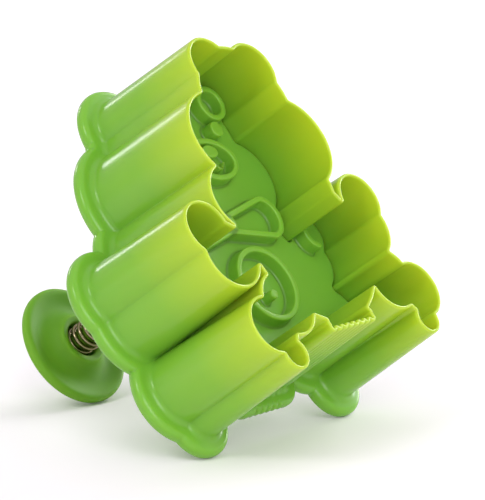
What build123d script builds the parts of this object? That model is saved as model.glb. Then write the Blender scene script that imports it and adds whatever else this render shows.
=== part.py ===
"""A spring plunger cutter for sandwiches and rolled dough.

A deep shell with a thin cutting edge has the outline of a plain teddy bear that sits with its head
to one side: round ears, cheeks, a bow at the neck, hands, feet with toes, and a fluted hem between
the feet. A stamp plate with raised lines fits inside it. The plate hangs on a stem that runs through the back of the shell to a round push
knob, and a steel spring round the stem holds the plate up inside the shell until the knob is pressed.

Frame, in millimetres: the cutter stands on its cutting edge, with the plunger axis on Z and the
knob on top. The bear's ears point to +Y and the origin is on the axis, level with the edge.
"""

from build123d import *

import os
from math import cos, pi, radians, sin, sqrt, tan

# Outline at the cutting edge. Every lobe is a disc, and pairs stand evenly about a shifted middle.
head_shift = -5.16
head_rise = 28.6
head_radius = 18.95
head_tilt = 9.72
ear_reach = 8.78
ear_lift = 11.87
ear_radius = 9.07
cheek_reach = 14.47
cheek_drop = 11.65
cheek_radius = 14.75
bow_shift = 3.7
bow_rise = 0.68
bow_reach = 15.97
bow_radius = 11.29
body_drop = 15.0
body_radius = 26.14
arm_shift = 2.88
hand_reach = 35.88
hand_drop = 6.41
hand_radius = 8.6
elbow_reach = 31.84
elbow_drop = 14.83
elbow_radius = 10.36
leg_shift = -2.99
leg_reach = 25.17
leg_drop = 31.88
leg_radius = 9.98
foot_reach = 35.38
foot_drop = 36.78
foot_radius = 8.95
toe_reach = 32.39
toe_drop = 46.0
toe_radius = 4.8
hem_shift = -0.87
hem_half = 10.73
hem_drop = 41.51
flute_count = 8
flute_radius_share = 0.55

# Shell: drafted wall, rolled flange and closed back.
edge_thickness = 1.0
wall_depth = 39.4
wall_draft = 2.5
flange_reach = 4.6
flange_thickness = 4.2
flange_roll = 1.8
notch_fillet = 0.8
back_thickness = 3.0

# Guide for the stem, moulded into the middle of the back, with a pocket for the spring.
guide_wall = 2.3
running_gap = 0.1
collar_radius = 8.0
collar_height = 3.0
collar_fillet = 0.8
pocket_wall = 2.6
pocket_floor = 2.4

# Stamp plate, with a skirt and a hub behind it.
stamp_depth = 22.8
stamp_thickness = 2.4
stamp_gap = 0.5
skirt_height = 4.0
skirt_thickness = 1.6
hub_radius = 11.5
hub_height = 4.0

# Raised lines on the stamp: ears and face in the frame of the head, then bow, belly, hands and feet.
relief_height = 4.0
line_width = 2.0
inner_ear_radius = 4.8
eye_reach = 6.8
eye_lift = 3.0
eye_radius = 2.6
snout_drop = 7.5
snout_half_width = 9.5
snout_half_height = 6.0
nose_drop = 5.0
nose_half_width = 3.2
nose_half_height = 2.2
mouth_drop = 8.6
mouth_half_width = 4.0
mouth_sag = 2.0
knot_radius = 3.4
wing_root_half = 2.2
wing_tip_reach = 18.0
wing_tip_half = 6.0
wing_end_reach = 23.5
belly_drop = 19.0
belly_radius = 11.0
button_radius = 1.6
button_spread = 7.0
hand_line_radius = 5.0
hand_line_start = 110.0
hand_line_sweep = 140.0
pad_half_width = 4.4
pad_half_height = 3.2
toe_pad_radius = 1.6

# Stem, with a round foot that is screwed to the hub of the stamp.
stem_radius = 3.0
foot_plate_radius = 11.0
foot_plate_thickness = 2.4
rest_gap = 0.3
foot_screw_reach = 8.0
foot_screw_count = 3
first_screw_angle = 90.0
foot_screw_radius = 1.1
foot_screw_length = 7.0
foot_head_radius = 2.1
foot_head_height = 1.5

# Push knob: domed above and dished below, with a boss that holds the end of the spring.
knob_radius = 19.0
knob_stand = 53.0
knob_rim_height = 3.0
knob_rim_width = 2.6
knob_rim_roll = 1.1
knob_height = 7.2
dish_rise = 3.4
boss_radius = 8.1
boss_drop = 4.8
boss_fillet = 0.6
socket_radius = 5.6
web_rise = 0.6
web_thickness = 2.2

# Screw that holds the knob on the stem, and the cap that hides it.
knob_screw_radius = 1.5
knob_screw_length = 11.0
knob_head_radius = 2.8
knob_head_height = 1.8
head_recess_gap = 0.4
slot_width = 0.7
slot_depth = 0.7
head_roll_share = 0.33
tip_chamfer_share = 0.33
fit_gap = 0.05
cap_radius = 7.0
cap_thickness = 1.8
cap_gap = 0.1

# Return spring and the washer under it.
wire_radius = 0.55
coil_radius = 4.2
coil_turns = 20
end_pitch = 1.6
seat_gap = 0.05
washer_radius = 5.1
washer_thickness = 0.8
washer_gap = 0.3

# What a cut passes a face by.
overrun = 1.0

os.makedirs("parts", exist_ok=True)

# Levels along the plunger axis, from the cutting edge up.
stamp_back = stamp_depth + stamp_thickness
hub_top = stamp_back + hub_height
foot_top = hub_top + foot_plate_thickness
guide_end = foot_top + rest_gap
back_level = wall_depth + flange_thickness
cavity_top = back_level - back_thickness
collar_top = back_level + collar_height
pocket_level = cavity_top + pocket_floor
washer_top = pocket_level + washer_thickness
knob_rim_level = wall_depth + knob_stand
boss_level = knob_rim_level - boss_drop
web_level = knob_rim_level + web_rise
web_top = web_level + web_thickness
knob_top = knob_rim_level + knob_height
cap_floor = knob_top - cap_thickness

# Radii that follow from a fit.
guide_bore = stem_radius + running_gap
guide_radius = guide_bore + guide_wall
pocket_radius = collar_radius - pocket_wall
wall_flare = wall_depth * tan(radians(wall_draft))
drafted_height = wall_depth + flange_thickness / 2
drafted_flare = drafted_height * tan(radians(wall_draft))

# Every lobe of the head stands in a frame that leans by the tilt.
def head_point(reach, rise):
    """Return a point of the head's own frame in the frame of the part."""
    lean = radians(head_tilt)
    return (
        head_shift + reach * cos(lean) - rise * sin(lean),
        head_rise + reach * sin(lean) + rise * cos(lean),
    )


# The discs that make up the outline, as reach, rise and radius.
body_lobes = [(head_shift, head_rise, head_radius), (0, -body_drop, body_radius)]
for side in (-1, 1):
    body_lobes += [
        (*head_point(side * ear_reach, ear_lift), ear_radius),
        (*head_point(side * cheek_reach, -cheek_drop), cheek_radius),
        (bow_shift + side * bow_reach, bow_rise, bow_radius),
        (arm_shift + side * hand_reach, -hand_drop, hand_radius),
        (arm_shift + side * elbow_reach, -elbow_drop, elbow_radius),
        (leg_shift + side * leg_reach, -leg_drop, leg_radius),
        (leg_shift + side * foot_reach, -foot_drop, foot_radius),
        (leg_shift + side * toe_reach, -toe_drop, toe_radius),
    ]

# The hem hangs between the legs, and its flutes are a row of small discs.
flute_pitch = 2 * hem_half / flute_count
flute_radius = flute_pitch * flute_radius_share
hem_flutes = [
    (hem_shift + flute_pitch * (n - (flute_count - 1) / 2), -hem_drop, flute_radius)
    for n in range(flute_count)
]


def bear_outline(level, lobes, grow=0):
    """Return the outer boundary of the lobes and the hem at a level, grown or shrunk evenly."""
    with BuildSketch() as union:
        for reach, rise, radius in lobes:
            with Locations((reach, rise)):
                Circle(radius)
        with Locations((hem_shift, -hem_drop)):
            Rectangle(2 * hem_half, hem_drop, align=(Align.CENTER, Align.MIN))
    with BuildSketch(Plane.XY.offset(level)) as bear:
        make_face(union.sketch.face().outer_wire().edges())
        if grow:
            offset(amount=grow, mode=Mode.REPLACE)
    return bear.sketch


def ring(radius):
    """Draw a ring of the line width into the open sketch."""
    Circle(radius + line_width / 2)
    Circle(radius - line_width / 2, mode=Mode.SUBTRACT)


def pan_screw(level, shank_radius, shank_length, head_radius, head_height):
    """Return a slotted screw on Z: its head sits on the level and its shank points down."""
    with BuildPart() as screw:
        with BuildSketch(Plane.XY.offset(level)):
            Circle(head_radius)
        extrude(amount=head_height)
        fillet(screw.edges().group_by(Axis.Z)[-1], head_height * head_roll_share)
        with BuildSketch(Plane.XY.offset(level)):
            Circle(shank_radius)
        extrude(amount=-shank_length)
        chamfer(screw.edges().group_by(Axis.Z)[0], shank_radius * tip_chamfer_share)
        with BuildSketch(Plane.XY.offset(level + head_height)):
            Rectangle(2 * head_radius + overrun, slot_width)
        extrude(amount=-slot_depth, mode=Mode.SUBTRACT)
    return screw.part


# Cutter shell: the flange with its rolled edge, the drafted wall as one cone a lobe, then the cavity.
with BuildPart() as cutter_shell:
    with BuildSketch(Plane.XY.offset(wall_depth)):
        add(bear_outline(wall_depth, body_lobes, wall_flare + flange_reach))
    extrude(amount=flange_thickness)
    fillet(cutter_shell.edges().filter_by(Axis.Z), notch_fillet)
    rims = cutter_shell.edges().group_by(Axis.Z)
    fillet(rims[0] + rims[-1], flange_roll)
    with BuildSketch():
        with Locations((hem_shift, -hem_drop)):
            Rectangle(2 * hem_half, hem_drop, align=(Align.CENTER, Align.MIN))
    extrude(amount=drafted_height, taper=-wall_draft)
    for reach, rise, radius in body_lobes + hem_flutes:
        with Locations((reach, rise)):
            Cone(
                radius,
                radius + drafted_flare,
                drafted_height,
                align=(Align.CENTER, Align.CENTER, Align.MIN),
            )
    with BuildSketch():
        add(bear_outline(0, body_lobes + hem_flutes, -edge_thickness))
    extrude(amount=cavity_top, mode=Mode.SUBTRACT)
    with BuildSketch(Plane.XY.offset(guide_end)):
        Circle(guide_radius)
    extrude(amount=back_level - guide_end)
    with BuildSketch(Plane.XY.offset(back_level)):
        Circle(collar_radius)
    extrude(amount=collar_height)
    fillet(cutter_shell.edges().group_by(Axis.Z)[-1], collar_fillet)
    with BuildSketch(Plane.XY.offset(collar_top)):
        Circle(pocket_radius)
    extrude(amount=pocket_level - collar_top, mode=Mode.SUBTRACT)
    with BuildSketch(Plane.XY.offset(collar_top)):
        Circle(guide_bore)
    extrude(amount=guide_end - collar_top, mode=Mode.SUBTRACT)
cutter_shell.part.label = "cutter_shell"
export_step(cutter_shell.part, "parts/cutter_shell.step")

# Raised lines of the head, in its own frame.
with BuildSketch(Plane.XY.offset(stamp_depth)) as face_lines:
    with Locations((-ear_reach, ear_lift), (ear_reach, ear_lift)):
        ring(inner_ear_radius)
    with Locations((-eye_reach, eye_lift), (eye_reach, eye_lift)):
        Circle(eye_radius)
    with Locations((0, -snout_drop)):
        Ellipse(snout_half_width + line_width / 2, snout_half_height + line_width / 2)
        Ellipse(
            snout_half_width - line_width / 2,
            snout_half_height - line_width / 2,
            mode=Mode.SUBTRACT,
        )
    with Locations((0, -nose_drop)):
        Ellipse(nose_half_width, nose_half_height)
    for side in (-1, 1):
        with BuildLine():
            ThreePointArc(
                (0, -mouth_drop),
                (side * mouth_half_width / 2, -mouth_drop - mouth_sag),
                (side * mouth_half_width, -mouth_drop),
            )
        trace(line_width=line_width / 2)

# Raised lines of the bow: two wings that meet under the knot.
with BuildSketch(Plane.XY.offset(stamp_depth)) as bow_lines:
    for side in (-1, 1):
        tip = bow_shift + side * wing_tip_reach
        end = bow_shift + side * wing_end_reach
        with BuildLine():
            Line((bow_shift, bow_rise + wing_root_half), (tip, bow_rise + wing_tip_half))
            ThreePointArc(
                (tip, bow_rise + wing_tip_half),
                (end, bow_rise),
                (tip, bow_rise - wing_tip_half),
            )
            Line((tip, bow_rise - wing_tip_half), (bow_shift, bow_rise - wing_root_half))
        trace(line_width=line_width)
    with Locations((bow_shift, bow_rise)):
        Circle(knot_radius)

# Raised lines of the hands.
with BuildSketch(Plane.XY.offset(stamp_depth)) as arm_lines:
    with BuildLine():
        CenterArc(
            (arm_shift + hand_reach, -hand_drop),
            hand_line_radius,
            hand_line_start,
            hand_line_sweep,
        )
    trace(line_width=line_width)
    mirror(about=Plane.YZ.offset(arm_shift))

# Raised pads of the feet, with a small one on each toe.
with BuildSketch(Plane.XY.offset(stamp_depth)) as leg_lines:
    for side in (-1, 1):
        with Locations((leg_shift + side * foot_reach, -foot_drop)):
            Ellipse(pad_half_width, pad_half_height)
        with Locations((leg_shift + side * toe_reach, -toe_drop + toe_radius / 2)):
            Circle(toe_pad_radius)

# Stamp plate: face, skirt and hub, with the raised lines on the side of the cutting edge.
stamp_shrink = edge_thickness + stamp_gap
with BuildPart() as stamp_plate:
    with BuildSketch(Plane.XY.offset(stamp_depth)):
        add(bear_outline(stamp_depth, body_lobes, -stamp_shrink))
    extrude(amount=stamp_thickness + skirt_height)
    with BuildSketch(Plane.XY.offset(stamp_back)):
        add(bear_outline(stamp_back, body_lobes, -stamp_shrink - skirt_thickness))
    extrude(amount=skirt_height, mode=Mode.SUBTRACT)
    with BuildSketch(Plane.XY.offset(stamp_back)):
        Circle(hub_radius)
    extrude(amount=hub_height)
    with BuildSketch(Plane.XY.offset(hub_top)):
        with PolarLocations(foot_screw_reach, foot_screw_count, start_angle=first_screw_angle):
            Circle(foot_screw_radius + fit_gap)
    extrude(amount=foot_plate_thickness - foot_screw_length, mode=Mode.SUBTRACT)
    with BuildSketch(Plane.XY.offset(stamp_depth)):
        with Locations(Location((head_shift, head_rise), head_tilt)):
            add(face_lines.sketch)
        add(bow_lines.sketch)
        add(arm_lines.sketch)
        add(leg_lines.sketch)
        with Locations((0, -belly_drop)):
            ring(belly_radius)
            with GridLocations(0, button_spread, 1, 2):
                Circle(button_radius)
    extrude(amount=-relief_height)
stamp_plate.part.label = "stamp_plate"
export_step(stamp_plate.part, "parts/stamp_plate.step")

# Stem: round foot, shaft, clearance holes for the foot screws and a bore for the knob screw.
with BuildPart() as plunger_stem:
    with BuildSketch(Plane.XY.offset(hub_top)):
        Circle(foot_plate_radius)
        with PolarLocations(foot_screw_reach, foot_screw_count, start_angle=first_screw_angle):
            Circle(foot_screw_radius + fit_gap, mode=Mode.SUBTRACT)
    extrude(amount=foot_plate_thickness)
    with BuildSketch(Plane.XY.offset(hub_top)):
        Circle(stem_radius)
    extrude(amount=web_level - hub_top)
    with BuildSketch(Plane.XY.offset(web_level)):
        Circle(knob_screw_radius + fit_gap)
    extrude(amount=web_thickness - knob_screw_length, mode=Mode.SUBTRACT)
plunger_stem.part.label = "plunger_stem"
export_step(plunger_stem.part, "parts/plunger_stem.step")

# Foot screws: one solid for each screw in the ring.
foot_screw = pan_screw(
    foot_top, foot_screw_radius, foot_screw_length, foot_head_radius, foot_head_height
)
with BuildPart() as foot_screws:
    with PolarLocations(foot_screw_reach, foot_screw_count, start_angle=first_screw_angle):
        add(foot_screw)
foot_screws.part.label = "foot_screws"
export_step(foot_screws.part, "parts/foot_screws.step")

# Knob: one profile turned about the plunger axis.
dome_rise = knob_height - knob_rim_height
dome_radius = (knob_radius**2 + dome_rise**2) / (2 * dome_rise)
with BuildPart() as knob:
    with BuildSketch(Plane.XZ) as knob_profile:
        with BuildLine():
            TangentArc(
                (0, knob_top),
                (knob_radius, knob_rim_level + knob_rim_height),
                tangent=(1, 0),
            )
            Polyline(
                (knob_radius, knob_rim_level + knob_rim_height),
                (knob_radius, knob_rim_level),
                (knob_radius - knob_rim_width, knob_rim_level),
            )
            TangentArc(
                (boss_radius, knob_rim_level + dish_rise),
                (knob_radius - knob_rim_width, knob_rim_level),
                tangent=(1, 0),
            )
            Polyline(
                (boss_radius, knob_rim_level + dish_rise),
                (boss_radius, boss_level),
                (socket_radius, boss_level),
                (socket_radius, web_level),
                (0, web_level),
                (0, knob_top),
            )
        make_face()
        rim_corners = [
            (knob_radius, knob_rim_level + knob_rim_height),
            (knob_radius, knob_rim_level),
            (knob_radius - knob_rim_width, knob_rim_level),
        ]
        for reach, level in rim_corners:
            corner = knob_profile.vertices().sort_by_distance((reach, level))[0]
            fillet(corner, knob_rim_roll)
        corner = knob_profile.vertices().sort_by_distance((boss_radius, boss_level))[0]
        fillet(corner, boss_fillet)
    revolve(axis=Axis.Z)
    with BuildSketch(Plane.XY.offset(cap_floor)):
        Circle(cap_radius + cap_gap)
    extrude(amount=cap_thickness + overrun, mode=Mode.SUBTRACT)
    with BuildSketch(Plane.XY.offset(web_top)):
        Circle(knob_head_radius + head_recess_gap)
    extrude(amount=cap_floor - web_top, mode=Mode.SUBTRACT)
    with BuildSketch(Plane.XY.offset(web_top)):
        Circle(knob_screw_radius + fit_gap)
    extrude(amount=-web_thickness, mode=Mode.SUBTRACT)
knob.part.label = "knob"
export_step(knob.part, "parts/knob.step")

# Knob screw, from the web of the knob down into the stem.
knob_screw = pan_screw(
    web_top, knob_screw_radius, knob_screw_length, knob_head_radius, knob_head_height
)
knob_screw.label = "knob_screw"
export_step(knob_screw, "parts/knob_screw.step")

# Cap: a lid whose top carries on the dome of the knob.
cap_sag = dome_radius - sqrt(dome_radius**2 - cap_radius**2)
with BuildPart() as knob_cap:
    with BuildSketch(Plane.XZ):
        with BuildLine():
            TangentArc((0, knob_top), (cap_radius, knob_top - cap_sag), tangent=(1, 0))
            Polyline(
                (cap_radius, knob_top - cap_sag),
                (cap_radius, cap_floor),
                (0, cap_floor),
                (0, knob_top),
            )
        make_face()
    revolve(axis=Axis.Z)
knob_cap.part.label = "knob_cap"
export_step(knob_cap.part, "parts/knob_cap.step")

# Washer: it lies in the pocket of the collar and carries the spring.
with BuildPart() as spring_washer:
    with BuildSketch(Plane.XY.offset(pocket_level)):
        Circle(washer_radius)
        Circle(stem_radius + washer_gap, mode=Mode.SUBTRACT)
    extrude(amount=washer_thickness)
spring_washer.part.label = "spring_washer"
export_step(spring_washer.part, "parts/spring_washer.step")

# Return spring: a first and a last turn with a closer pitch, and even turns between them.
spring_start = washer_top + seat_gap + wire_radius
spring_end = web_level - seat_gap - wire_radius
spring_pitch = (spring_end - spring_start - 2 * end_pitch) / (coil_turns - 2)


def coil_height(turn):
    """Return the height of the wire's centre after a number of turns."""
    if turn <= 1:
        return spring_start + turn * end_pitch
    if turn >= coil_turns - 1:
        return spring_end - (coil_turns - turn) * end_pitch
    return spring_start + end_pitch + (turn - 1) * spring_pitch


def coil_point(turn):
    """Return the wire's centre after a number of turns."""
    angle = 2 * pi * turn
    return Vector(coil_radius * cos(angle), coil_radius * sin(angle), coil_height(turn))


def coil_tangent(turn):
    """Return the wire's direction after a number of turns, averaged over half a turn each way."""
    before = max(turn - 0.5, 0)
    after = min(turn + 0.5, coil_turns)
    climb = (coil_height(after) - coil_height(before)) / (2 * pi * (after - before))
    angle = 2 * pi * turn
    return Vector(-coil_radius * sin(angle), coil_radius * cos(angle), climb).normalized()


def biarc_joint(start, leave, end, arrive):
    """Return the point and direction where two equal-legged tangent arcs meet."""
    span = end - start
    both = leave + arrive
    bend = 2 * (1 - leave.dot(arrive))
    leg = (sqrt(span.dot(both) ** 2 + bend * span.dot(span)) - span.dot(both)) / bend
    first = start + leave * leg
    second = end - arrive * leg
    return (first + second) / 2, (second - first).normalized()


with BuildPart() as return_spring:
    with BuildLine() as wire:
        for half in range(2 * coil_turns):
            before, after = half / 2, half / 2 + 0.5
            start, leave = coil_point(before), coil_tangent(before)
            end, arrive = coil_point(after), coil_tangent(after)
            joint, heading = biarc_joint(start, leave, end, arrive)
            TangentArc(start, joint, tangent=leave)
            TangentArc(joint, end, tangent=heading)
    with BuildSketch(Plane(coil_point(0), z_dir=coil_tangent(0))):
        Circle(wire_radius)
    sweep()
return_spring.part.label = "return_spring"
export_step(return_spring.part, "parts/return_spring.step")

# Least gap between neighbouring turns, measured on points along the wire.
points_per_turn = 24
wire_points = [
    wire.wires()[0].position_at(n / (points_per_turn * coil_turns))
    for n in range(points_per_turn * coil_turns + 1)
]
least_gap = min(
    (wire_points[i] - wire_points[j]).length
    for i in range(len(wire_points))
    for j in range(i + points_per_turn // 2, min(i + 2 * points_per_turn, len(wire_points)))
)
print(f"spring: pitch {spring_pitch:.2f} mm, least gap {least_gap - 2 * wire_radius:.2f} mm")
print(f"wire length {wire.wires()[0].length:.1f} mm, volume {return_spring.part.volume:.1f} mm3")
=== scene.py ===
"""Visual model of a spring plunger cutter for sandwiches and rolled dough.

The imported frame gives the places. The moulded shell, its stamp, the push knob and the spring are
modelled again here with their soft edges. The other nodes keep their shapes and get finishes.
Sizes are in millimetres in the classes and in metres in the meshes.
"""

import logging
import math
from dataclasses import dataclass
from enum import Enum

import bmesh
import bpy
import numpy as np
from mathutils import Matrix, Vector


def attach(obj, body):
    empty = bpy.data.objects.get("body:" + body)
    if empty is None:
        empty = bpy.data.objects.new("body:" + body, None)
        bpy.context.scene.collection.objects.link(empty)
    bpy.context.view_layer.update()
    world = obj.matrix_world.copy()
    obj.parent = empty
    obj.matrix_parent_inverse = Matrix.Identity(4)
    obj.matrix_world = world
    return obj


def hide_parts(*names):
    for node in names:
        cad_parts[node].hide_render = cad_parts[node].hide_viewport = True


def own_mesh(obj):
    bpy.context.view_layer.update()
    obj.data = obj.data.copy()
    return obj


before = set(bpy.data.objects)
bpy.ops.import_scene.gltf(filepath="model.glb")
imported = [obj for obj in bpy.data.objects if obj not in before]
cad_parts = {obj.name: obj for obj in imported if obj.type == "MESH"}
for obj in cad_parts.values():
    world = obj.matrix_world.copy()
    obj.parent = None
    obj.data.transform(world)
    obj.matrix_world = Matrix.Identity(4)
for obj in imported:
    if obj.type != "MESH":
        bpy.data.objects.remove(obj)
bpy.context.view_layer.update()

MM = 0.001
LOG = logging.getLogger("plunger_cutter")

# In millimetres: the spacing of an outline's points, of a disc's and of a turned corner's, the
# farthest that a ring moves in one step, and how far a fillet's join is overlapped.
POINT_GAP = 0.1
ARC_GAP = 0.04
CORNER_GAP = 0.06
GROWTH_STEP = 0.35
OVERLAP = 0.3

# In metres: how close a loop lies to its level, and how close two points are to be one.
LEVEL_SLACK = 1e-6
MERGE_GAP = 1e-7

# Scales of the finishes' noises, in waves for each metre.
CLOUD_SCALE = 22.0
SMEAR_SCALE = 140.0
GRAIN_SCALE = 900.0
STAIN_SCALE = 160.0
DRAWN_SCALE = 2600.0

Point = tuple[float, float]
Colour = tuple[float, float, float]


class Side(Enum):
    """The two sides of a pair of lobes or lines."""

    LEFT = -1
    RIGHT = 1


class Paint(Enum):
    """The nodes that keep their own shape, by the finish that they get."""

    PLASTIC = ("plunger_stem", "knob_cap")
    STEEL = ("foot_screws", "knob_screw", "spring_washer")


# ---- shader expressions -------------------------------------------------------------------------


class Wire:
    """One shader socket that can stand in Python expressions."""

    def __init__(self, tree: bpy.types.NodeTree, socket: bpy.types.NodeSocket) -> None:
        """Keep the tree and the socket."""
        self.tree = tree
        self.socket = socket

    def maths(self, kind: str, *values: "Wire | float") -> "Wire":
        """Add one Math node.

        Args:
            kind: The operation of the node.
            values: The values or wires of its sockets, in order.

        Returns:
            The result as a new wire.
        """
        node = self.tree.nodes.new("ShaderNodeMath")
        node.operation = kind
        for place, value in enumerate(values):
            if isinstance(value, Wire):
                self.tree.links.new(value.socket, node.inputs[place])
            else:
                node.inputs[place].default_value = value
        return Wire(self.tree, node.outputs[0])

    def __add__(self, other: "Wire | float") -> "Wire":
        """Add."""
        return self.maths("ADD", self, other)

    def __radd__(self, other: float) -> "Wire":
        """Add to a number."""
        return self.maths("ADD", other, self)

    def __sub__(self, other: "Wire | float") -> "Wire":
        """Subtract."""
        return self.maths("SUBTRACT", self, other)

    def __rsub__(self, other: float) -> "Wire":
        """Subtract from a number."""
        return self.maths("SUBTRACT", other, self)

    def __mul__(self, other: "Wire | float") -> "Wire":
        """Multiply."""
        return self.maths("MULTIPLY", self, other)

    def __rmul__(self, other: float) -> "Wire":
        """Multiply a number."""
        return self.maths("MULTIPLY", other, self)

    def __truediv__(self, other: "Wire | float") -> "Wire":
        """Divide."""
        return self.maths("DIVIDE", self, other)

    def held(self) -> "Wire":
        """Return the value held between 0 and 1."""
        return self.maths("MINIMUM", self.maths("MAXIMUM", self, 0.0), 1.0)


class Sheet:
    """A material and its nodes."""

    def __init__(self, name: str) -> None:
        """Make an empty material that uses nodes."""
        self.material = bpy.data.materials.new(name)
        self.material.use_nodes = True
        self.tree = self.material.node_tree
        self.tree.nodes.clear()

    def add(self, kind: str, settings: dict | None = None, values: dict | None = None) -> bpy.types.Node:
        """Add a node.

        Args:
            kind: The node's type.
            settings: Its properties, which are set first.
            values: Values or wires for its inputs, by name or index.

        Returns:
            The new node.
        """
        node = self.tree.nodes.new(kind)
        for name, value in (settings or {}).items():
            setattr(node, name, value)
        for name, value in (values or {}).items():
            if isinstance(value, Wire):
                self.tree.links.new(value.socket, node.inputs[name])
            else:
                node.inputs[name].default_value = value
        return node

    def wire(self, node: bpy.types.Node, output: str | int = 0) -> Wire:
        """Return one output of a node as a wire."""
        return Wire(self.tree, node.outputs[output])

    def place(self) -> Wire:
        """Return the object's own coordinates."""
        return self.wire(self.add("ShaderNodeTexCoord"), "Object")

    def split(self, vector: Wire) -> tuple[Wire, Wire, Wire]:
        """Return the three parts of a vector."""
        node = self.add("ShaderNodeSeparateXYZ", values={0: vector})
        return self.wire(node, 0), self.wire(node, 1), self.wire(node, 2)

    def noise(self, place: Wire, scale: float, detail: float = 2.0) -> Wire:
        """Return a noise between 0 and 1 at a scale in waves per metre."""
        node = self.add("ShaderNodeTexNoise", values={"Vector": place, "Scale": scale, "Detail": detail})
        return self.wire(node, 0)

    def blend(self, share: Wire, low: "Wire | Colour", high: "Wire | Colour") -> Wire:
        """Mix two colours.

        Args:
            share: How much of the second colour shows.
            low: The first colour.
            high: The second colour.

        Returns:
            The mixed colour.
        """
        node = self.add("ShaderNodeMix", {"data_type": "RGBA", "clamp_factor": True})
        self.tree.links.new(share.socket, node.inputs["Factor"])
        for socket, value in ((node.inputs[6], low), (node.inputs[7], high)):
            if isinstance(value, Wire):
                self.tree.links.new(value.socket, socket)
            else:
                socket.default_value = (*value, 1.0)
        return Wire(self.tree, node.outputs[2])

    def finish(self, shader: bpy.types.Node) -> bpy.types.Material:
        """Join the shader to the output and return the material."""
        output = self.add("ShaderNodeOutputMaterial")
        self.tree.links.new(shader.outputs[0], output.inputs["Surface"])
        return self.material


@dataclass(frozen=True)
class GreenPlastic:
    """Glossy, slightly translucent lime-green moulding, with a painted glow near its edge and painted shade
    towards its root.
    """

    name: str
    # Painted shade: a darker green painted towards the root, where shade falls.
    painted_shade: Colour = (0.145, 0.39, 0.035)
    middle: Colour = (0.22, 0.44, 0.03)
    # Painted light: a yellow glow of light through the thin walls, painted near the cutting edge; it fades
    # out over a depth in millimetres above its level.
    painted_glow: Colour = (0.42, 0.54, 0.018)
    painted_glow_level: float = 0.0
    painted_glow_depth: float = 22.0
    # Painted shade: it starts a depth in millimetres below this level and is full at the level.
    painted_shade_level: float = 40.0
    painted_shade_depth: float = 30.0
    roughness: float = 0.22
    shine: float = 0.4
    translucence: float = 0.55
    glow_reach: Colour = (1.4, 1.0, 0.45)
    glow_scale: float = 0.0035
    ior: float = 1.49

    def make(self) -> bpy.types.Material:
        """Return the material: yellower near the cutting edge from a painted glow of light through the thin
        walls, deeper green towards the root from painted shade.
        """
        sheet = Sheet(self.name)
        place = sheet.place()
        height = sheet.split(place)[2]
        cloud = sheet.noise(place, CLOUD_SCALE)
        grain = sheet.noise(place, GRAIN_SCALE, 3.0)
        smear = sheet.noise(place, SMEAR_SCALE, 3.0)
        lift = height * (1.0 / MM)
        # Painted glow: the share of painted light through the thin walls, full at the cutting edge and gone a
        # depth above it.
        edge = (1.0 - (lift - self.painted_glow_level) / self.painted_glow_depth).held()
        # Painted shade: the share of painted shade, rising from none a depth below its level to full at the
        # level.
        root = ((lift - (self.painted_shade_level - self.painted_shade_depth)) / self.painted_shade_depth).held()
        # The moulding's own green is darkened by painted shade and then yellowed near the edge by the painted
        # glow; the cloud noise only varies the tone at random.
        colour = sheet.blend((root * 0.75 + cloud * 0.3 - 0.1).held(), self.middle, self.painted_shade)
        colour = sheet.blend((edge * 0.6 + cloud * 0.2 - 0.08).held(), colour, self.painted_glow)
        rough = self.roughness + (smear - 0.5) * 0.06 + (grain - 0.5) * 0.03
        bump = sheet.add(
            "ShaderNodeBump",
            values={"Strength": 0.03, "Distance": 0.0002, "Height": smear * 0.7 + grain * 0.05},
        )
        shader = sheet.add(
            "ShaderNodeBsdfPrincipled",
            {"subsurface_method": "RANDOM_WALK"},
            {
                "Base Color": colour,
                "Roughness": rough,
                "IOR": self.ior,
                "Subsurface Weight": self.translucence,
                "Subsurface Radius": self.glow_reach,
                "Subsurface Scale": self.glow_scale,
                "Specular IOR Level": self.shine,
                "Normal": sheet.wire(bump),
            },
        )
        return sheet.finish(shader)


@dataclass(frozen=True)
class BrightSteel:
    """Bright wire or plain steel with fine drawing lines."""

    name: str
    clean: Colour
    warm: Colour
    roughness: float

    def make(self) -> bpy.types.Material:
        """Return the material."""
        sheet = Sheet(self.name)
        place = sheet.place()
        cloud = sheet.noise(place, STAIN_SCALE)
        lines = sheet.noise(place, DRAWN_SCALE)
        bump = sheet.add(
            "ShaderNodeBump", values={"Strength": 0.05, "Distance": 0.0001, "Height": lines}
        )
        shader = sheet.add(
            "ShaderNodeBsdfPrincipled",
            None,
            {
                "Base Color": sheet.blend(cloud, self.clean, self.warm),
                "Metallic": 1.0,
                "Roughness": self.roughness + (lines - 0.5) * 0.12 + cloud * 0.05,
                "Normal": sheet.wire(bump),
            },
        )
        return sheet.finish(shader)


@dataclass(frozen=True)
class PaleFloor:
    """Matt white floor that shows only from its upper side, with a glow that can whiten it."""

    name: str
    shade: Colour = (0.955, 0.90, 0.955)
    glow: float = 0.0

    def make(self) -> bpy.types.Material:
        """Return the material."""
        sheet = Sheet(self.name)
        face = sheet.wire(sheet.add("ShaderNodeNewGeometry"), "Backfacing")
        matt = sheet.add("ShaderNodeBsdfDiffuse", None, {"Color": (*self.shade, 1.0)})
        lamp = sheet.add("ShaderNodeEmission", None, {"Strength": self.glow})
        both = sheet.add("ShaderNodeAddShader")
        clear = sheet.add("ShaderNodeBsdfTransparent")
        mix = sheet.add("ShaderNodeMixShader")
        sheet.tree.links.new(matt.outputs[0], both.inputs[0])
        sheet.tree.links.new(lamp.outputs[0], both.inputs[1])
        sheet.tree.links.new(face.socket, mix.inputs[0])
        sheet.tree.links.new(both.outputs[0], mix.inputs[1])
        sheet.tree.links.new(clear.outputs[0], mix.inputs[2])
        return sheet.finish(mix)


# ---- modelling by hand --------------------------------------------------------------------------


def deselect() -> None:
    """Leave every object out of the selection."""
    if bpy.context.object and bpy.context.object.mode != "OBJECT":
        bpy.ops.object.mode_set(mode="OBJECT")
    bpy.ops.object.select_all(action="DESELECT")


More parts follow.
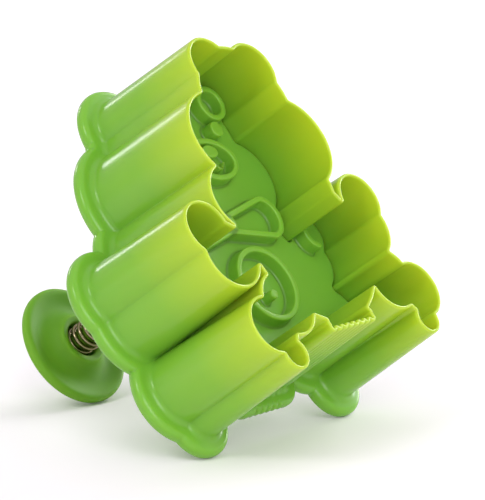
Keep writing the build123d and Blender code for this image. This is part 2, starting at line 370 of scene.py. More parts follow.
def loft(name: str, rings: list[np.ndarray], close: bool = False) -> bpy.types.Object:
    """Draw a circle and extrude it ring by ring.

    Args:
        name: The new object's name.
        rings: One array of points in millimetres for each ring, all of the same count.
        close: Whether the last ring joins the first.

    Returns:
        The new object, open at its first and last rings unless closed.
    """
    deselect()
    count = len(rings[0])
    bpy.ops.mesh.primitive_circle_add(vertices=count, radius=10 * MM, fill_type="NOTHING")
    piece = bpy.context.object
    piece.name = piece.data.name = name
    bpy.ops.object.mode_set(mode="EDIT")
    mesh = bmesh.from_edit_mesh(piece.data)
    turn = mesh.verts.layers.int.new("turn")
    for vertex in mesh.verts:
        vertex[turn] = vertex.index
    for step, ring in enumerate(rings):
        if step:
            bpy.ops.mesh.extrude_region()
            mesh = bmesh.from_edit_mesh(piece.data)
            turn = mesh.verts.layers.int["turn"]
        places = (ring * MM).tolist()
        for vertex in mesh.verts:
            if vertex.select:
                vertex.co = places[vertex[turn]]
    bmesh.update_edit_mesh(piece.data)
    if close:
        bpy.ops.mesh.select_all(action="DESELECT")
        bpy.ops.mesh.select_non_manifold(extend=False)
        bpy.ops.mesh.bridge_edge_loops()
    bpy.ops.object.mode_set(mode="OBJECT")
    return piece


def cap(piece: bpy.types.Object, level: float) -> None:
    """Fill the open loops that lie at one level, round any hole between them.

    Args:
        piece: The object.
        level: The height of the loops in millimetres.
    """
    deselect()
    bpy.context.view_layer.objects.active = piece
    piece.select_set(True)
    bpy.ops.object.mode_set(mode="EDIT")
    bpy.ops.mesh.select_mode(type="EDGE")
    bpy.ops.mesh.select_all(action="DESELECT")
    mesh = bmesh.from_edit_mesh(piece.data)
    for edge in mesh.edges:
        flat = all(abs(vertex.co.z - level * MM) < LEVEL_SLACK for vertex in edge.verts)
        edge.select_set(flat and edge.is_boundary)
    bmesh.update_edit_mesh(piece.data)
    bpy.ops.mesh.fill(use_beauty=False)
    bpy.ops.mesh.select_mode(type="VERT")
    bpy.ops.object.mode_set(mode="OBJECT")


def weld(name: str, pieces: list[bpy.types.Object], angle: float = 50.0) -> bpy.types.Object:
    """Join pieces into one object with its faces outwards and its soft edges smooth.

    Args:
        name: The object's name.
        pieces: What it is joined from.
        angle: The sharpest bend that is shaded smooth, in degrees.

    Returns:
        The joined object.
    """
    deselect()
    for piece in pieces:
        piece.select_set(True)
    bpy.context.view_layer.objects.active = pieces[0]
    if len(pieces) > 1:
        bpy.ops.object.join()
    whole = bpy.context.object
    whole.name = whole.data.name = name
    bpy.ops.object.mode_set(mode="EDIT")
    bpy.ops.mesh.select_all(action="SELECT")
    bpy.ops.mesh.remove_doubles(threshold=MERGE_GAP)
    bpy.ops.mesh.normals_make_consistent(inside=False)
    bpy.ops.object.mode_set(mode="OBJECT")
    bpy.ops.object.shade_smooth_by_angle(angle=math.radians(angle))
    return whole


def dress(piece: bpy.types.Object, material: bpy.types.Material) -> None:
    """Give every face of an object one material."""
    piece.data.materials.clear()
    piece.data.materials.append(material)


def flat_ring(points: np.ndarray, level: float) -> np.ndarray:
    """Return plane points as points in space at one level."""
    return np.column_stack([points, np.full(len(points), level)])


def arc(degrees: tuple[int, ...]) -> list[Point]:
    """Return the cosine and the sine of some angles."""
    return [(math.cos(math.radians(angle)), math.sin(math.radians(angle))) for angle in degrees]


def circle(radius: float, count: int = 96) -> np.ndarray:
    """Return points round the plunger axis."""
    turn = np.arange(count) * 2 * math.pi / count
    return radius * np.column_stack([np.cos(turn), np.sin(turn)])


# ---- outline ------------------------------------------------------------------------------------


@dataclass
class BearOutline:
    """Round lobes in millimetres, placed by a fit to the photographed rim, with a bear's names."""

    head_shift: float = -5.16
    head_rise: float = 28.6
    head_radius: float = 18.95
    head_tilt: float = 9.72
    ear_reach: float = 8.78
    ear_lift: float = 11.87
    ear_radius: float = 9.07
    cheek_reach: float = 14.47
    cheek_drop: float = 11.65
    cheek_radius: float = 14.75
    bow_shift: float = 3.7
    bow_rise: float = 0.68
    bow_reach: float = 15.97
    bow_radius: float = 11.29
    body_drop: float = 15.0
    body_radius: float = 26.14
    arm_shift: float = 2.88
    hand_reach: float = 35.88
    hand_drop: float = 6.41
    hand_radius: float = 8.6
    elbow_reach: float = 31.84
    elbow_drop: float = 14.83
    elbow_radius: float = 10.36
    leg_shift: float = -2.99
    leg_reach: float = 25.17
    leg_drop: float = 31.88
    leg_radius: float = 9.98
    foot_reach: float = 35.38
    foot_drop: float = 36.78
    foot_radius: float = 8.95
    toe_reach: float = 32.39
    toe_drop: float = 46.0
    toe_radius: float = 4.8
    hem_shift: float = -0.87
    hem_half: float = 10.73
    hem_drop: float = 41.51
    flute_count: int = 8
    flute_radius_share: float = 0.55
    softness: float = 0.13
    notch_softness: float = 0.01
    inset_softness: float = 0.1
    hem_crowding: float = 1.6
    crease_crowding: float = 12.0
    most_crowding: float = 1.5
    count: int = 1200

    def head_point(self, reach: float, rise: float) -> Point:
        """Return a point of the head's own frame in the frame of the part."""
        lean = math.radians(self.head_tilt)
        return (
            self.head_shift + reach * math.cos(lean) - rise * math.sin(lean),
            self.head_rise + reach * math.sin(lean) + rise * math.cos(lean),
        )

    def lobes(self) -> np.ndarray:
        """Return every disc as a row of x, y and radius."""
        rows = [(self.head_shift, self.head_rise, self.head_radius), (0.0, -self.body_drop, self.body_radius)]
        for side in Side:
            way = side.value
            rows += [
                (*self.head_point(way * self.ear_reach, self.ear_lift), self.ear_radius),
                (*self.head_point(way * self.cheek_reach, -self.cheek_drop), self.cheek_radius),
                (self.bow_shift + way * self.bow_reach, self.bow_rise, self.bow_radius),
                (self.arm_shift + way * self.hand_reach, -self.hand_drop, self.hand_radius),
                (self.arm_shift + way * self.elbow_reach, -self.elbow_drop, self.elbow_radius),
                (self.leg_shift + way * self.leg_reach, -self.leg_drop, self.leg_radius),
                (self.leg_shift + way * self.foot_reach, -self.foot_drop, self.foot_radius),
                (self.leg_shift + way * self.toe_reach, -self.toe_drop, self.toe_radius),
            ]
        return np.array(rows)

    @property
    def flute_pitch(self) -> float:
        """Return the width of one flute of the hem."""
        return 2 * self.hem_half / self.flute_count

    def discs(self, growth: float) -> np.ndarray:
        """Return every disc that bounds the outline at a growth, the hem's flutes among them."""
        rows = [(x, y, radius + growth) for x, y, radius in self.lobes()]
        flute = self.flute_pitch * self.flute_radius_share
        reach = self.hem_half - self.flute_pitch / 2
        middle = (self.flute_count - 1) / 2
        for number in range(self.flute_count):
            across = self.hem_shift + self.flute_pitch * (number - middle)
            rows.append((across, -self.hem_drop - growth, flute))
        for side in Side:
            across = self.hem_shift + side.value * reach
            rows += [(across, -self.hem_drop + lift, flute + growth) for lift in (0.0, 1.6)]
        return np.array(rows)

    def even(self, path: np.ndarray, softness: float) -> np.ndarray:
        """Return a closed path with evenly spaced points and softened corners."""
        closed = np.vstack([path, path[:1]])
        travel = np.concatenate([[0.0], np.cumsum(np.linalg.norm(np.diff(closed, axis=0), axis=1))])
        count = int(travel[-1] / POINT_GAP)
        wanted = np.arange(count) / count * travel[-1]
        spaced = np.column_stack([np.interp(wanted, travel, closed[:, axis]) for axis in (0, 1)])
        reach = int(40 * softness) + 1
        weight = np.exp(-0.5 * (np.arange(-reach, reach + 1) * POINT_GAP / softness) ** 2)
        weight /= weight.sum()
        held = np.vstack([spaced[-reach:], spaced, spaced[:reach]])
        return np.column_stack([np.convolve(held[:, axis], weight, "valid") for axis in (0, 1)])

    def inset(self, depth: float) -> np.ndarray:
        """Return the outline at a depth inside the cutting edge.

        Args:
            depth: How far inside it lies, in millimetres.

        Returns:
            Evenly spaced points, anticlockwise from the top.
        """
        path = self.contour(0.0)
        following = np.roll(path, -1, axis=0)
        along = following - np.roll(path, 1, axis=0)
        angle = np.unwrap(np.arctan2(along[:, 0], -along[:, 1]))
        bend = np.append(np.diff(angle), angle[0] + 2 * math.pi - angle[-1])
        counts = np.maximum(1, np.ceil(np.abs(bend) * depth / CORNER_GAP)).astype(int)
        index = np.repeat(np.arange(len(path)), counts)
        first = np.concatenate([[0], np.cumsum(counts)[:-1]])
        share = (np.arange(len(index)) - first[index]) / counts[index]
        turn = angle[index] + share * bend[index]
        inner = path[index] + share[:, None] * (following - path)[index]
        inner = inner + depth * np.column_stack([np.cos(turn), np.sin(turn)])
        clear = []
        for part in np.array_split(inner, 12):
            gap = (part[:, None, 0] - path[None, :, 0]) ** 2 + (part[:, None, 1] - path[None, :, 1]) ** 2
            clear.append(gap.min(axis=1) > (depth - 0.02 * depth - 0.01) ** 2)
        return self.even(inner[np.concatenate(clear)], self.inset_softness)

    def contour(self, growth: float) -> np.ndarray:
        """Walk round the outside of the discs.

        Args:
            growth: How far every disc is grown in millimetres.

        Returns:
            Evenly spaced points, anticlockwise from the top, with softened creases.
        """
        if growth < 0:
            return self.inset(-growth)
        discs = self.discs(growth)
        here = int(np.argmax(discs[:, 1] + discs[:, 2]))
        start, angle, points = here, math.pi / 2, []
        for _ in range(200):
            x, y, radius = discs[here]
            gap = discs[:, :2] - (x, y)
            length = np.maximum(np.hypot(gap[:, 0], gap[:, 1]), 1e-6)
            length[here] = 1e6
            bend = (length**2 + radius**2 - discs[:, 2] ** 2) / (2 * length * radius)
            meets = np.abs(bend) < 1
            way = np.arctan2(gap[:, 1], gap[:, 0]) - np.arccos(np.clip(bend, -1, 1))
            ahead = np.where(meets, np.mod(way - angle - 1e-7, 2 * math.pi), 1e9)
            following = int(np.argmin(ahead))
            sweep = float(ahead[following]) + 1e-7
            left = (math.pi / 2 - angle) % (2 * math.pi)
            closing = here == start and bool(points) and 1e-6 < left < sweep
            sweep = left if closing else sweep
            turn = angle + np.linspace(0, sweep, max(2, int(sweep * radius / ARC_GAP)), endpoint=False)
            points.append(np.column_stack([x + radius * np.cos(turn), y + radius * np.sin(turn)]))
            if closing:
                break
            corner = (x + radius * math.cos(angle + sweep), y + radius * math.sin(angle + sweep))
            here = following
            angle = math.atan2(corner[1] - discs[here, 1], corner[0] - discs[here, 0])
        return self.even(np.vstack(points), self.softness + self.notch_softness * growth)

    def first_ring(self) -> np.ndarray:
        """Return the cutting edge's points, closest together along the hem."""
        path = self.contour(0.0)
        beside = np.abs(path[:, 0] - self.hem_shift) < self.hem_half + 1
        near_hem = beside & (path[:, 1] < -self.hem_drop + 1)
        along = np.roll(path, -3, axis=0) - np.roll(path, 3, axis=0)
        angle = np.unwrap(np.arctan2(along[:, 1], along[:, 0]))
        bend = np.abs(np.gradient(angle))
        crease = np.convolve(np.concatenate([bend[-8:], bend, bend[:8]]), np.ones(17) / 17, "valid")
        weight = np.where(near_hem, self.hem_crowding, 1.0)
        weight += np.minimum(self.crease_crowding * crease, self.most_crowding)
        travel = np.concatenate([[0.0], np.cumsum(weight)])
        wanted = np.arange(self.count) / self.count * travel[-1]
        closed = np.vstack([path, path[:1]])
        return np.column_stack([np.interp(wanted, travel, closed[:, axis]) for axis in (0, 1)])

    def follow(self, ring: np.ndarray, growth: float) -> np.ndarray:
        """Move a ring to the outline of the next growth, in order and without crossing.

        Args:
            ring: The points at the growth before.
            growth: The next growth.

        Returns:
            The nearest points of the next outline, spread a little where they crowd.
        """
        path = self.contour(growth)
        apart = (ring[:, None, 0] - path[None, :, 0]) ** 2 + (ring[:, None, 1] - path[None, :, 1]) ** 2
        place = apart.argmin(axis=1).astype(float)
        count, whole = len(ring), len(path)
        order = np.arange(count)
        place = np.where((order > count / 2) & (place < whole / 4), place + whole, place)
        place = np.where((order < count / 2) & (place > whole * 3 / 4), place - whole, place)
        place = (np.maximum.accumulate(place) + np.minimum.accumulate(place[::-1])[::-1]) / 2
        steps = np.diff(np.append(place, place[0] + whole))
        for _ in range(4):
            steps = 0.5 * steps + 0.25 * (np.roll(steps, 1) + np.roll(steps, -1))
        shift = place.mean() - np.concatenate([[0.0], np.cumsum(steps)[:-1]]).mean()
        place = shift + np.concatenate([[0.0], np.cumsum(steps)[:-1]])
        wrapped = np.vstack([path, path, path, path[:1]])
        index = np.arange(3 * whole + 1) - whole
        return np.column_stack([np.interp(place, index, wrapped[:, axis]) for axis in (0, 1)])

    def rings(self, growths: list[float]) -> dict[float, np.ndarray]:
        """Return the ring at each wanted growth."""
        base = self.first_ring()
        found: dict[float, np.ndarray] = {}
        for way in (1, -1):
            ring, here = base, 0.0
            for growth in sorted((g for g in set(growths) if g * way >= 0), key=abs):
                steps = math.ceil(abs(growth - here) / GROWTH_STEP)
                for step in range(1, steps + 1):
                    ring = self.follow(ring, here + (growth - here) * step / steps)
                here = growth
                found[growth] = ring
        return found


# ---- pieces -------------------------------------------------------------------------------------


@dataclass
class CutterShell:
    """The moulded shell: thin edge, drafted wall, rolled flange, back and guide."""

    edge_thickness: float = 1.0
    wall_depth: float = 39.4
    wall_draft: float = 2.5
    root_fillet: float = 1.9
    flange_reach: float = 6.32
    flange_thickness: float = 4.2
    flange_roll: float = 1.8
    cavity_top: float = 40.6
    collar_radius: float = 8.0
    collar_top: float = 46.6
    pocket_radius: float = 5.4
    pocket_level: float = 43.0
    guide_radius: float = 5.4
    guide_end: float = 31.9
    bore_radius: float = 3.1

    def profile(self) -> list[Point]:
        """Return the section as growth and level, from the cavity's ceiling round to the back."""
        rows = [(-self.edge_thickness - OVERLAP, self.cavity_top)]
        rows += [(-self.edge_thickness, level) for level in (self.cavity_top, 31.0, 21.0, 11.0, 4.0, 0.9)]
        half = self.edge_thickness / 2
        lip = 0.45
        rows += [(-half - half * cos, lip - lip * sin) for cos, sin in arc((20, 55, 90, 125, 160))]
        slope = math.tan(math.radians(self.wall_draft))
        fillet_level = self.wall_depth - self.root_fillet
        rows += [(level * slope, level) for level in (1.0, 6.0, 12.0, 18.0, 24.0, 30.0, 34.5)]
        root = fillet_level * slope
        quarter = arc((0, 18, 36, 54, 72, 90))
        fillet, roll = self.root_fillet, self.flange_roll
        rows += [(root + fillet * (1 - cos), fillet_level + fillet * sin) for cos, sin in quarter]
        crest = self.flange_reach - roll
        rows += [(crest + roll * sin, self.wall_depth + roll * (1 - cos)) for cos, sin in quarter]
        back = self.wall_depth + self.flange_thickness
        rows += [(crest + roll * cos, back - roll * (1 - sin)) for cos, sin in quarter]
        rows.append((crest - OVERLAP, back))
        return [(round(growth, 4), round(level, 4)) for growth, level in rows]

    def guide_profile(self) -> list[Point]:
        """Return the section of the guide and the collar as radius and level."""
        back = self.wall_depth + self.flange_thickness
        return [
            (self.guide_radius + 0.3, self.cavity_top),
            (self.guide_radius, self.cavity_top),
            (self.guide_radius, self.guide_end + 0.3),
            (self.guide_radius - 0.3, self.guide_end),
            (self.bore_radius + 0.2, self.guide_end),
            (self.bore_radius, self.guide_end + 0.2),
            (self.bore_radius, self.pocket_level - 0.2),
            (self.bore_radius + 0.2, self.pocket_level),
            (self.pocket_radius, self.pocket_level),
            (self.pocket_radius, self.collar_top - 0.4),
            (self.pocket_radius + 0.12, self.collar_top - 0.12),
            (self.pocket_radius + 0.4, self.collar_top),
            (self.collar_radius - 0.6, self.collar_top),
            (self.collar_radius - 0.18, self.collar_top - 0.18),
            (self.collar_radius, self.collar_top - 0.6),
            (self.collar_radius, back + 0.8),
            (self.collar_radius + 0.1, back + 0.4),
            (self.collar_radius + 0.4, back + 0.1),
            (self.collar_radius + 0.8, back),
            (self.collar_radius + 1.1, back),
        ]

    def build(self, outline: BearOutline) -> bpy.types.Object:
        """Return the shell's mesh."""
        section = self.profile()
        rings = outline.rings([growth for growth, _ in section])
        skin = loft("shell_skin", [flat_ring(rings[growth], level) for growth, level in section])
        guide = loft(
            "shell_guide", [flat_ring(circle(radius), level) for radius, level in self.guide_profile()]
        )
        whole = weld("shell_moulding", [skin, guide])
        cap(whole, self.wall_depth + self.flange_thickness)
        cap(whole, self.cavity_top)
        return weld("shell_moulding", [whole])


@dataclass
class StampPlate:
    """The plate inside the shell, with soft raised lines of a plain bear on the fitted lobes."""

    edge_inset: float = 1.5
    face_level: float = 22.8
    thickness: float = 2.4
    skirt_height: float = 4.0
    skirt_thickness: float = 1.6
    hub_radius: float = 11.5
    hub_height: float = 4.0
    relief_height: float = 4.0
    line_width: float = 2.0
    root_fillet: float = 0.7
    tip_round: float = 0.45
    inner_ear_radius: float = 4.8
    eye_reach: float = 6.8
    eye_lift: float = 3.0
    eye_radius: float = 2.6
    snout_drop: float = 7.5
    snout_half_width: float = 9.5
    snout_half_height: float = 6.0
    nose_drop: float = 5.0
    nose_half_width: float = 3.2
    nose_half_height: float = 2.2
    mouth_drop: float = 8.6
    mouth_half_width: float = 4.0
    mouth_sag: float = 2.0
    knot_radius: float = 3.4
    wing_root_half: float = 2.2
    wing_tip_reach: float = 18.0
    wing_tip_half: float = 6.0
    wing_end_reach: float = 23.5
    belly_drop: float = 19.0
    belly_radius: float = 11.0
    button_radius: float = 1.6
    button_spread: float = 7.0
    hand_line_radius: float = 5.0
    hand_line_start: float = 110.0
    hand_line_sweep: float = 140.0
    pad_half_width: float = 4.4
    pad_half_height: float = 3.2
    toe_pad_radius: float = 1.6

    def heights(self) -> list[Point]:
        """Return the side of a raised line as offset from its edge and level."""
        face, fillet, soft = self.face_level, self.root_fillet, self.tip_round
        tip = face - self.relief_height
        rows = [(fillet, face + OVERLAP), (fillet, face)]
        rows += [(fillet * (1 - sin), face - fillet * (1 - cos)) for cos, sin in arc((30, 60, 90))]
        draft = 0.1
        rows += [(-soft * (1 - cos) - draft, tip + soft * (1 - sin)) for cos, sin in arc((0, 30, 60, 90))]
        return rows

    def oval(
        self, middle: Point, half_width: float, half_height: float, lean: float, count: int
    ) -> np.ndarray:
        """Return the points of an oval that is turned by some degrees."""
        turn = np.arange(count) * 2 * math.pi / count
        way = math.radians(lean)
        x = half_width * np.cos(turn)
        y = half_height * np.sin(turn)
        across = middle[0] + x * math.cos(way) - y * math.sin(way)
        along = middle[1] + x * math.sin(way) + y * math.cos(way)
        return np.column_stack([across, along])

    def pad(
        self, middle: Point, half_width: float, half_height: float, lean: float = 0.0
    ) -> bpy.types.Object:
        """Return a raised oval pad.

        Args:
            middle: Its middle.
            half_width: Half its width.
            half_height: Half its height.
            lean: How far it is turned, in degrees.

        Returns:
            The pad's mesh.
        """
        tip = self.face_level - self.relief_height
        sides = self.heights() + [(-self.tip_round - 0.4, tip)]
        rings = [
            flat_ring(self.oval(middle, half_width + offset, half_height + offset, lean, 64), level)
            for offset, level in sides
        ]
        piece = loft("pad", rings)
        cap(piece, tip)
        return piece

    def hoop(
        self, middle: Point, half_width: float, half_height: float, lean: float = 0.0
    ) -> bpy.types.Object:
        """Return a raised oval line, with the same arguments as a pad."""
        half = self.line_width / 2
        sides = [(half + offset, level) for offset, level in self.heights()]
        sides += [(-offset, level) for offset, level in reversed(sides)]
        rings = [
            flat_ring(self.oval(middle, half_width + offset, half_height + offset, lean, 96), level)
            for offset, level in sides
        ]
        return loft("hoop", rings, close=True)

    def stroke(self, path: np.ndarray, width: float) -> bpy.types.Object:
        """Return a raised line with round ends along an open path.

        Args:
            path: The points of its middle line.
            width: Its width.

        Returns:
            The line's mesh.
        """
        along = np.gradient(path, axis=0)
        along /= np.linalg.norm(along, axis=1)[:, None]
        side = np.column_stack([-along[:, 1], along[:, 0]])
        sweep = np.radians(np.arange(15, 180, 15))
        first, last = side[0], side[-1]
        end = np.outer(np.cos(sweep), last) + np.outer(np.sin(sweep), along[-1])
        begin = np.outer(np.cos(sweep), -first) + np.outer(np.sin(sweep), -along[0])
        ends = [np.repeat(path[-1:], len(end), 0), np.repeat(path[:1], len(begin), 0)]
        base = np.vstack([path, ends[0], path[::-1], ends[1]])
        ways = np.vstack([side, end, -side[::-1], begin])
        tip = self.face_level - self.relief_height
        sides = self.heights() + [(-self.tip_round - 0.2, tip)]
        rings = [flat_ring(base + ways * (width / 2 + offset), level) for offset, level in sides]
        piece = loft("stroke", rings)
        cap(piece, tip)
        return piece

    def relief(self, outline: BearOutline) -> list[bpy.types.Object]:
        """Return every raised line of the stamp."""
        lean = outline.head_tilt
        head = outline.head_point
        bow = (outline.bow_shift, outline.bow_rise)
        ear, eye, toe_pad = self.inner_ear_radius, self.eye_radius, self.toe_pad_radius
        bulge = self.wing_end_reach - self.wing_tip_reach
        sweep = np.linspace(0, 1, 9)
        sag = self.mouth_drop + self.mouth_sag * np.sin(math.pi * sweep)
        flare = self.wing_root_half + (self.wing_tip_half - self.wing_root_half) * sweep
        wing_turn = np.radians(np.linspace(82, -82, 13))
        hand_turn = np.radians(self.hand_line_start + self.hand_line_sweep * np.linspace(0, 1, 17))
        pieces = [
            self.hoop(head(0.0, -self.snout_drop), self.snout_half_width, self.snout_half_height, lean),
            self.pad(head(0.0, -self.nose_drop), self.nose_half_width, self.nose_half_height, lean),
            self.pad(bow, self.knot_radius, self.knot_radius),
            self.hoop((0.0, -self.belly_drop), self.belly_radius, self.belly_radius),
        ]
        for lift in (self.button_spread / 2, -self.button_spread / 2):
            middle = (0.0, lift - self.belly_drop)
            pieces.append(self.pad(middle, self.button_radius, self.button_radius))
        for side in Side:
            way = side.value
            smile = np.array([head(way * self.mouth_half_width * t, -drop) for t, drop in zip(sweep, sag)])
            wing_top = np.column_stack([way * self.wing_tip_reach * sweep, flare])
            wing_end = np.column_stack(
                [
                    way * (self.wing_tip_reach + bulge * np.cos(wing_turn)),
                    self.wing_tip_half * np.sin(wing_turn),
                ]
            )
            wing = np.vstack([wing_top, wing_end, wing_top[::-1] * [1, -1]]) + bow
            hand = self.hand_line_radius * np.column_stack([way * np.cos(hand_turn), np.sin(hand_turn)])
            hand += [outline.arm_shift + way * outline.hand_reach, -outline.hand_drop]
            foot = (outline.leg_shift + way * outline.foot_reach, -outline.foot_drop)
            toe = (
                outline.leg_shift + way * outline.toe_reach,
                -outline.toe_drop + outline.toe_radius / 2,
            )
            pieces += [
                self.hoop(head(way * outline.ear_reach, outline.ear_lift), ear, ear),
                self.pad(head(way * self.eye_reach, self.eye_lift), eye, eye),
                self.stroke(smile, self.line_width / 2),
                self.stroke(wing, self.line_width),
                self.stroke(hand, self.line_width),
                self.pad(foot, self.pad_half_width, self.pad_half_height),
                self.pad(toe, toe_pad, toe_pad),
            ]
        return pieces

    def build(self, outline: BearOutline) -> bpy.types.Object:
        """Return the stamp's mesh."""
        back = self.face_level + self.thickness
        skirt_top = back + self.skirt_height
        inner = self.edge_inset + self.skirt_thickness
        section = [
            (-self.edge_inset - 0.7, self.face_level),
            (-self.edge_inset - 0.4, self.face_level),
            (-self.edge_inset - 0.12, self.face_level + 0.12),
            (-self.edge_inset, self.face_level + 0.4),
            (-self.edge_inset, skirt_top - 0.3),
            (-self.edge_inset - 0.3, skirt_top),
            (-inner + 0.3, skirt_top),
            (-inner, skirt_top - 0.3),
            (-inner, back),
            (-inner - 0.3, back),
        ]
        rings = outline.rings([growth for growth, _ in section])
        plate = loft("stamp_skin", [flat_ring(rings[growth], level) for growth, level in section])
        hub_top = back + self.hub_height
        hub = loft(
            "stamp_hub",
            [
                flat_ring(circle(radius), level)
                for radius, level in (
                    (self.hub_radius + 0.3, back),
                    (self.hub_radius, back),
                    (self.hub_radius, hub_top - 0.3),
                    (self.hub_radius - 0.3, hub_top),
                    (self.hub_radius - 0.6, hub_top),
                )
            ],
        )
        cap(hub, hub_top)
        whole = weld("stamp_moulding", [plate, hub])
        cap(whole, self.face_level)
        cap(whole, back)
        return weld("stamp_moulding", [whole, *self.relief(outline)])


@dataclass
class PushKnob:
    """The round knob: domed above, softly dished below, with a low ring round the spring's seat."""

    rim_level: float = 92.4
    top_level: float = 99.6
    dome_radius: float = 45.08
    web_level: float = 93.0
    web_top: float = 95.2
    cap_floor: float = 97.8
    recess_radius: float = 7.1
    head_radius: float = 3.2
    bore_radius: float = 1.55

    def dome(self, reach: float) -> Point:
        """Return the point of the dome at one distance from the axis."""
        return reach, self.top_level - self.dome_radius + math.sqrt(self.dome_radius**2 - reach**2)

    def profile(self) -> list[Point]:
        """Return the whole section as radius and level, from the bore outwards and back."""
        under = (
            (5.45, 0.6), (5.6, 0.45), (5.6, -2.5), (5.75, -2.8), (6.2, -3.0), (7.3, -3.2), (7.8, -3.1),
            (8.1, -2.75), (8.3, -2.1), (8.7, -1.3), (9.4, -0.5), (10.4, 0.3), (11.6, 0.85), (12.8, 1.05),
            (14.0, 0.95), (15.2, 0.65), (16.4, 0.25), (17.4, 0.02), (18.1, 0.08), (18.6, 0.35),
            (18.9, 0.8), (19.0, 1.5), (19.0, 2.1), (18.85, 2.55), (18.55, 2.95),
        )
        rows = [(self.bore_radius, self.web_level)]
        rows += [(reach, self.rim_level + lift) for reach, lift in under]
        rows += [self.dome(reach) for reach in (18.1, 17.4, 16.0, 14.0, 12.0, 10.0, 8.0)]
        rows += [self.dome(self.recess_radius + 0.2)]
        edge = self.dome(self.recess_radius)[1]
        rows += [
            (self.recess_radius, edge - 0.2),
            (self.recess_radius, self.cap_floor),
            (self.head_radius, self.cap_floor),
            (self.head_radius, self.web_top),
            (self.bore_radius, self.web_top),
        ]
        return rows

    def build(self) -> bpy.types.Object:
        """Return the knob's mesh."""
        rings = [flat_ring(circle(reach, 144), level) for reach, level in self.profile()]
        return weld("push_knob", [loft("push_knob", rings, close=True)])


@dataclass
class ReturnSpring:
    """The round wire spring between the collar's washer and the knob."""

    wire_radius: float = 0.7
    coil_radius: float = 4.2
    start_level: float = 44.5
    end_level: float = 92.28
    turns: float = 20.0
    seat_turns: float = 1.0
    anchor_level: float = 43.8
    length: float = 49.1
    stroke: float = 17.5

    def build(self) -> bpy.types.Object:
        """Return the spring's mesh."""
        deselect()
        count = int(self.turns * 28)
        curve = bpy.data.curves.new("spring_wire", "CURVE")
        curve.dimensions = "3D"
        curve.bevel_depth = self.wire_radius * MM
        curve.bevel_resolution = 4
        curve.use_fill_caps = True
        line = curve.splines.new("POLY")
        line.points.add(count)
        wire = 2 * self.wire_radius + 0.05
        pitch_rise = self.end_level - self.start_level - 2 * self.seat_turns * wire
        for step in range(count + 1):
            turn = self.turns * step / count
            low = min(turn, self.seat_turns) * wire
            high = max(turn - (self.turns - self.seat_turns), 0.0) * wire
            middle = min(max(turn - self.seat_turns, 0.0), self.turns - 2 * self.seat_turns)
            level = self.start_level + low + high + middle * pitch_rise / (self.turns - 2 * self.seat_turns)
            angle = 2 * math.pi * turn
            line.points[step].co = (
                self.coil_radius * MM * math.cos(angle),
                self.coil_radius * MM * math.sin(angle),
                level * MM,
                1.0,
            )
        piece = bpy.data.objects.new("spring_coil", curve)
        bpy.context.scene.collection.objects.link(piece)
        piece.select_set(True)
        bpy.context.view_layer.objects.active = piece
        bpy.ops.object.convert(target="MESH")
        return weld("spring_coil", [bpy.context.object], 60.0)


# ---- stage --------------------------------------------------------------------------------------


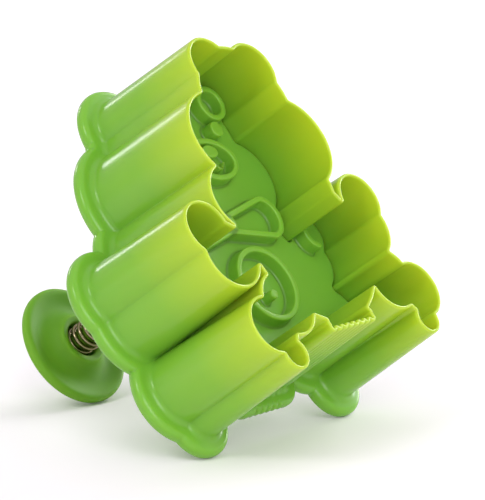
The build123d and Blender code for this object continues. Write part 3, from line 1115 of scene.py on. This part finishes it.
@dataclass
class Studio:
    """Camera of the photograph, soft lights and pale floors."""

    lens: float = 180.0
    floor_size: float = 3.0
    seen_white: float = 1.05
    lit_white: float = 0.76

    def pose(self) -> Matrix:
        """Return the camera's place and turn."""
        across = Vector((-0.59909, -0.45028, -0.66208))
        up = Vector((-0.12373, 0.86902, -0.47906))
        back = Vector((0.79107, -0.20507, -0.57633))
        turn = Matrix((across, up, back)).transposed().to_4x4()
        return Matrix.Translation(Vector((0.56121, -0.15222, -0.387015))) @ turn

    def place_camera(self) -> None:
        """Add the camera."""
        lens = bpy.data.cameras.new("photo_camera")
        lens.lens = self.lens
        lens.sensor_width = lens.sensor_height = 36.0
        lens.sensor_fit = "AUTO"
        lens.clip_end = 20.0
        camera = bpy.data.objects.new("photo_camera", lens)
        camera.matrix_world = self.pose()
        bpy.context.scene.collection.objects.link(camera)
        bpy.context.scene.camera = camera

    def skylight(self, name: str, way: Vector, strength: float, breadth: float, lights: bool = True) -> None:
        """Add a broad far light.

        Args:
            name: The light's name.
            way: Where it comes from: across and up the picture, and towards the camera.
            strength: Its strength in watts for each square metre.
            breadth: How broad it looks, in degrees.
            lights: Whether it lights the object, or only shows in its gloss.
        """
        light = bpy.data.lights.new(name, "SUN")
        light.energy = strength
        light.angle = math.radians(breadth)
        lamp = bpy.data.objects.new(name, light)
        lamp.rotation_euler = (-(self.pose().to_3x3() @ way)).to_track_quat("-Z", "Y").to_euler()
        lamp.visible_diffuse = lights
        bpy.context.scene.collection.objects.link(lamp)

    def floor(self, finish: PaleFloor, place: Vector, up: Vector, bounces: bool) -> None:
        """Add one floor that shows from its upper side and casts no shadow.

        Args:
            finish: Its finish, whose name it takes.
            place: A point of it in metres.
            up: The way that it faces.
            bounces: Whether it sends light back to the object.
        """
        deselect()
        bpy.ops.mesh.primitive_plane_add(size=self.floor_size)
        board = bpy.context.object
        board.name = board.data.name = finish.name
        board.matrix_world = Matrix.Translation(place) @ up.to_track_quat("Z", "Y").to_matrix().to_4x4()
        board.visible_shadow = False
        board.visible_diffuse = board.visible_glossy = bounces
        dress(board, finish.make())

    def world(self) -> None:
        """Set a white surround that lights softly."""
        world = bpy.data.worlds.new("white_studio")
        bpy.context.scene.world = world
        world.use_nodes = True
        tree = world.node_tree
        tree.nodes.clear()
        ray = tree.nodes.new("ShaderNodeLightPath")
        seen = tree.nodes.new("ShaderNodeBackground")
        seen.inputs[0].default_value = (1.0, 1.0, 1.0, 1.0)
        seen.inputs[1].default_value = self.seen_white
        lit = tree.nodes.new("ShaderNodeBackground")
        lit.inputs[0].default_value = (1.0, 1.0, 1.0, 1.0)
        lit.inputs[1].default_value = self.lit_white
        mix = tree.nodes.new("ShaderNodeMixShader")
        out = tree.nodes.new("ShaderNodeOutputWorld")
        tree.links.new(ray.outputs["Is Camera Ray"], mix.inputs[0])
        tree.links.new(lit.outputs[0], mix.inputs[1])
        tree.links.new(seen.outputs[0], mix.inputs[2])
        tree.links.new(mix.outputs[0], out.inputs[0])

    def build(self) -> None:
        """Add the whole stage."""
        bpy.context.scene.view_settings.view_transform = "Standard"
        self.place_camera()
        self.world()
        self.skylight("left_key", Vector((-0.5, 0.6, 0.62)), 0.65, 22.0)
        self.skylight("mouth_fill", Vector((0.3, 0.3, 0.9)), 1.35, 40.0)
        self.skylight("right_back", Vector((0.6, 0.4, -0.7)), 2.1, 40.0)
        self.skylight("left_streak", Vector((-0.6, 0.44, -0.66)), 0.13, 9.0, False)
        leaning = PaleFloor("leaning_floor")
        self.floor(leaning, Vector((0.0, -0.05675, 0.04294)), Vector((0.0, 0.81006, -0.58635)), True)
        level = PaleFloor("level_floor", shade=(0.93, 0.93, 0.93), glow=0.3)
        self.floor(level, Vector((0.0, 0.0, 0.0)), Vector((0.0, 0.0, 1.0)), False)


def main() -> None:
    """Build every piece, dress it, set the stage and log the face counts."""
    logging.basicConfig(level=logging.INFO, format="%(name)s: %(message)s")
    outline = BearOutline()
    shell = CutterShell().build(outline)
    dress(shell, GreenPlastic("green_shell_plastic").make())
    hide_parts("cutter_shell")
    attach(shell, "shell")
    LOG.info("shell: %d faces", len(shell.data.polygons))

    stamp = StampPlate().build(outline)
    # The stamp's plastic has no painted glow; its painted shade deepens towards its back, away from the
    # mouth.
    pressed = GreenPlastic(
        "green_stamp_plastic",
        painted_shade=(0.13, 0.37, 0.04),
        middle=(0.20, 0.43, 0.035),
        painted_glow_level=-100.0,
        painted_shade_level=30.0,
        painted_shade_depth=16.0,
        roughness=0.3,
    )
    dress(stamp, pressed.make())
    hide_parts("stamp_plate")
    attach(stamp, "plunger")
    LOG.info("stamp: %d faces", len(stamp.data.polygons))

    spring = ReturnSpring()
    coil = spring.build()
    wire = BrightSteel("spring_wire_steel", clean=(0.36, 0.31, 0.20), warm=(0.20, 0.15, 0.07), roughness=0.1)
    dress(coil, wire.make())
    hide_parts("return_spring")
    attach(coil, "shell")
    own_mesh(coil)
    LOG.info("spring: %d faces", len(coil.data.polygons))

    # The knob's plastic has no painted glow; its painted shade darkens the whole knob and fades out below the
    # knob's rim.
    green = GreenPlastic(
        "green_knob_plastic",
        painted_shade=(0.125, 0.32, 0.02),
        middle=(0.18, 0.39, 0.02),
        painted_glow_level=-100.0,
        painted_shade_level=92.0,
        painted_shade_depth=10.0,
        roughness=0.55,
        shine=0.2,
    ).make()
    knob = PushKnob().build()
    dress(knob, green)
    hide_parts("knob")
    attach(knob, "plunger")
    LOG.info("knob: %d faces", len(knob.data.polygons))
    steel = BrightSteel("plain_steel", clean=(0.62, 0.62, 0.6), warm=(0.5, 0.5, 0.47), roughness=0.28).make()
    for paint, material in ((Paint.PLASTIC, green), (Paint.STEEL, steel)):
        for name in paint.value:
            dress(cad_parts[name], material)
            LOG.info("%s: dressed", name)

    Studio().build()


if __name__ == "__main__":
    main()
